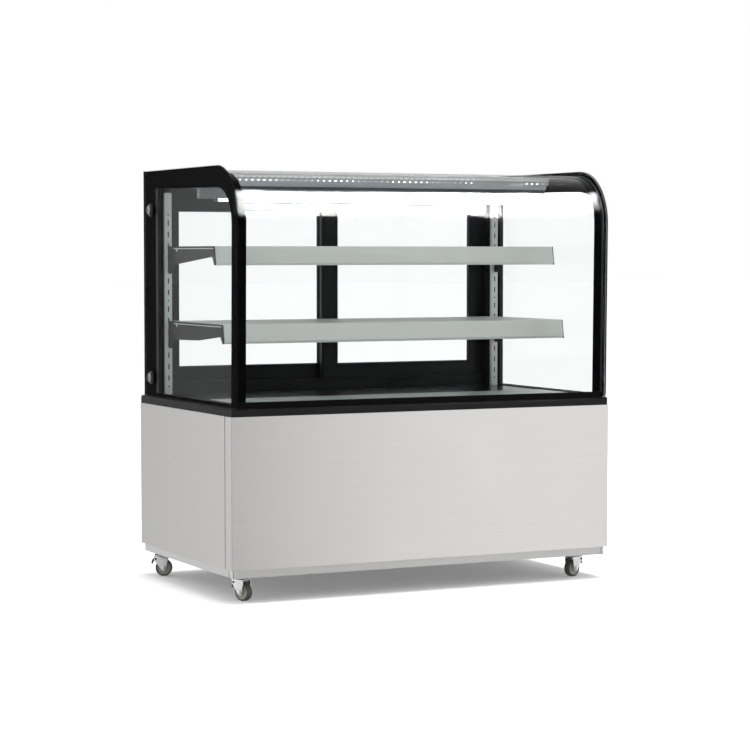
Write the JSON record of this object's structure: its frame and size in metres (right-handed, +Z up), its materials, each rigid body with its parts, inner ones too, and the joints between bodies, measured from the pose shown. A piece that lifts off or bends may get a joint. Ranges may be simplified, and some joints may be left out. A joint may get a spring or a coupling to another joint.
{
  "type": "bakery display case",
  "caption": "Refrigerated bakery display case with curved front glass, shelves, rear sliding glass doors and a stainless base on casters.",
  "frame": {"origin": "on the floor under the middle of the whole case", "axes": "+X towards the right-hand side as the customer sees it, +Y from the customer to the staff side where the sliding doors are, +Z up"},
  "size_m": [1.2, 0.715, 1.2],
  "materials": {
    "brushed_stainless": "brushed",
    "galvanised_frame": "satin",
    "black_trim": "satin",
    "clear_glass": "gloss",
    "black_top_glass": "gloss",
    "black_frame": "satin",
    "spacer_bar": "satin",
    "lamp_diffuser": "satin",
    "grey_shelf": "satin",
    "grey_upright": "satin",
    "dark_bracket": "satin",
    "door_glass": "gloss",
    "fixing_black": "satin",
    "fixing_chrome": "polished",
    "tub_liner": "satin",
    "coil_fins": "satin",
    "fan_plastic": "satin",
    "compressor_paint": "satin",
    "copper_pipe": "satin",
    "drip_tray": "satin",
    "control_plastic": "satin",
    "switch_plastic": "gloss",
    "zinc_plate": "satin",
    "wheel_tread": "satin",
    "brake_lever": "satin"
  },
  "bodies": {
    "case": {"base_frame": "galvanised_frame", "caster_plates": "zinc_plate", "chassis_pan": "brushed_stainless", "compressor": "compressor_paint", "condensate_pan": "drip_tray", "condenser_coil": "coil_fins", "condenser_fan_shroud": "fan_plastic", "control_panel": "control_plastic", "cord_gland": "control_plastic", "evaporator_coil": "coil_fins", "evaporator_fan_shroud": "fan_plastic", "fixing_caps": "fixing_chrome", "fixing_collars": "fixing_black", "front_glass": "clear_glass", "front_glass_channel": "black_trim", "front_panel": "brushed_stainless", "front_trim": "black_trim", "insulated_tub": "tub_liner", "lamp_housing": "black_frame", "lamp_strips": "lamp_diffuser", "left_inner_pane": "clear_glass", "left_outer_pane": "clear_glass", "left_side_panel": "brushed_stainless", "lower_shelf_brackets": "dark_bracket", "pane_spacers": "spacer_bar", "rear_header": "black_frame", "rear_panel": "brushed_stainless", "rear_posts": "black_frame", "rear_sill": "black_frame", "refrigerant_lines": "copper_pipe", "right_inner_pane": "clear_glass", "right_outer_pane": "clear_glass", "right_side_panel": "brushed_stainless", "shelf_uprights": "grey_upright", "side_trims": "black_trim", "top_panel": "black_top_glass", "upper_shelf_brackets": "dark_bracket"},
    "left_door": {"left_door_frame": "black_frame", "left_door_glass": "door_glass"},
    "right_door": {"right_door_frame": "black_frame", "right_door_glass": "door_glass"},
    "upper_shelf_tray": {"upper_shelf": "grey_shelf"},
    "lower_shelf_tray": {"lower_shelf": "grey_shelf"},
    "deck": {"deck_plate": "brushed_stainless"},
    "evaporator_fan": {"evaporator_fan_blades": "fan_plastic"},
    "condenser_fan": {"condenser_fan_blades": "fan_plastic"},
    "light_rocker": {"light_switch": "switch_plastic"},
    "power_rocker": {"power_switch": "switch_plastic"},
    "front_left_swivel": {"front_left_fork": "zinc_plate"},
    "front_left_roller": {"front_left_wheel": "wheel_tread"},
    "front_left_pedal": {"front_left_brake": "brake_lever"},
    "front_right_swivel": {"front_right_fork": "zinc_plate"},
    "front_right_roller": {"front_right_wheel": "wheel_tread"},
    "front_right_pedal": {"front_right_brake": "brake_lever"},
    "rear_left_swivel": {"rear_left_fork": "zinc_plate"},
    "rear_left_roller": {"rear_left_wheel": "wheel_tread"},
    "rear_left_pedal": {"rear_left_brake": "brake_lever"},
    "rear_right_swivel": {"rear_right_fork": "zinc_plate"},
    "rear_right_roller": {"rear_right_wheel": "wheel_tread"},
    "rear_right_pedal": {"rear_right_brake": "brake_lever"}
  },
  "joints": [
    {"name": "left_door_slide", "type": "slide", "parent": "case", "child": "left_door", "axis": [1, 0, 0], "range_m": [0, 0.5]},
    {"name": "right_door_slide", "type": "slide", "parent": "case", "child": "right_door", "axis": [-1, 0, 0], "range_m": [0, 0.5]},
    {"name": "upper_shelf_lift", "type": "slide", "parent": "case", "child": "upper_shelf_tray", "axis": [0, 0, 1], "range_m": [0, 0.06]},
    {"name": "lower_shelf_lift", "type": "slide", "parent": "case", "child": "lower_shelf_tray", "axis": [0, 0, 1], "range_m": [0, 0.06]},
    {"name": "deck_lift", "type": "slide", "parent": "case", "child": "deck", "axis": [0, 0, 1], "range_m": [0, 0.06]},
    {"name": "evaporator_fan_spin", "type": "hinge", "parent": "case", "child": "evaporator_fan", "pos_m": [0.22, 0.115, 0.483], "axis": [0, 1, 0], "continuous": true},
    {"name": "condenser_fan_spin", "type": "hinge", "parent": "case", "child": "condenser_fan", "pos_m": [0.14, 0.228, 0.216], "axis": [0, 1, 0], "continuous": true},
    {"name": "light_switch_rock", "type": "hinge", "parent": "case", "child": "light_rocker", "pos_m": [0.345, 0.344, 0.47], "axis": [1, 0, 0], "range_deg": [0, 10]},
    {"name": "power_switch_rock", "type": "hinge", "parent": "case", "child": "power_rocker", "pos_m": [0.375, 0.344, 0.47], "axis": [1, 0, 0], "range_deg": [0, 10]},
    {"name": "front_left_swivel_turn", "type": "hinge", "parent": "case", "child": "front_left_swivel", "pos_m": [-0.545, -0.272, 0.078], "axis": [0, 0, 1], "continuous": true},
    {"name": "front_left_wheel_roll", "type": "hinge", "parent": "front_left_swivel", "child": "front_left_roller", "pos_m": [-0.54012, -0.28296, 0.025], "axis": [0.9135, 0.4067, 0], "continuous": true},
    {"name": "front_left_brake_press", "type": "hinge", "parent": "front_left_swivel", "child": "front_left_pedal", "pos_m": [-0.54947, -0.26195, 0.052], "axis": [-0.9135, -0.4067, 0], "range_deg": [0, 12]},
    {"name": "front_right_swivel_turn", "type": "hinge", "parent": "case", "child": "front_right_swivel", "pos_m": [0.534, -0.266, 0.078], "axis": [0, 0, 1], "continuous": true},
    {"name": "front_right_wheel_roll", "type": "hinge", "parent": "front_right_swivel", "child": "front_right_roller", "pos_m": [0.52252, -0.26951, 0.025], "axis": [0.2924, -0.9563, 0], "continuous": true},
    {"name": "front_right_brake_press", "type": "hinge", "parent": "front_right_swivel", "child": "front_right_pedal", "pos_m": [0.54452, -0.26278, 0.052], "axis": [-0.2924, 0.9563, 0], "range_deg": [0, 12]},
    {"name": "rear_left_swivel_turn", "type": "hinge", "parent": "case", "child": "rear_left_swivel", "pos_m": [-0.57, 0.281, 0.078], "axis": [0, 0, 1], "continuous": true},
    {"name": "rear_left_wheel_roll", "type": "hinge", "parent": "rear_left_swivel", "child": "rear_left_roller", "pos_m": [-0.55921, 0.27574, 0.025], "axis": [0.4384, 0.8988, 0], "continuous": true},
    {"name": "rear_left_brake_press", "type": "hinge", "parent": "rear_left_swivel", "child": "rear_left_pedal", "pos_m": [-0.57989, 0.28582, 0.052], "axis": [-0.4384, -0.8988, 0], "range_deg": [0, 12]},
    {"name": "rear_right_swivel_turn", "type": "hinge", "parent": "case", "child": "rear_right_swivel", "pos_m": [0.57, 0.281, 0.078], "axis": [0, 0, 1], "continuous": true},
    {"name": "rear_right_wheel_roll", "type": "hinge", "parent": "rear_right_swivel", "child": "rear_right_roller", "pos_m": [0.55912, 0.27593, 0.025], "axis": [0.4226, -0.9063, 0], "continuous": true},
    {"name": "rear_right_brake_press", "type": "hinge", "parent": "rear_right_swivel", "child": "rear_right_pedal", "pos_m": [0.57997, 0.28565, 0.052], "axis": [-0.4226, 0.9063, 0], "range_deg": [0, 12]}
  ]
}
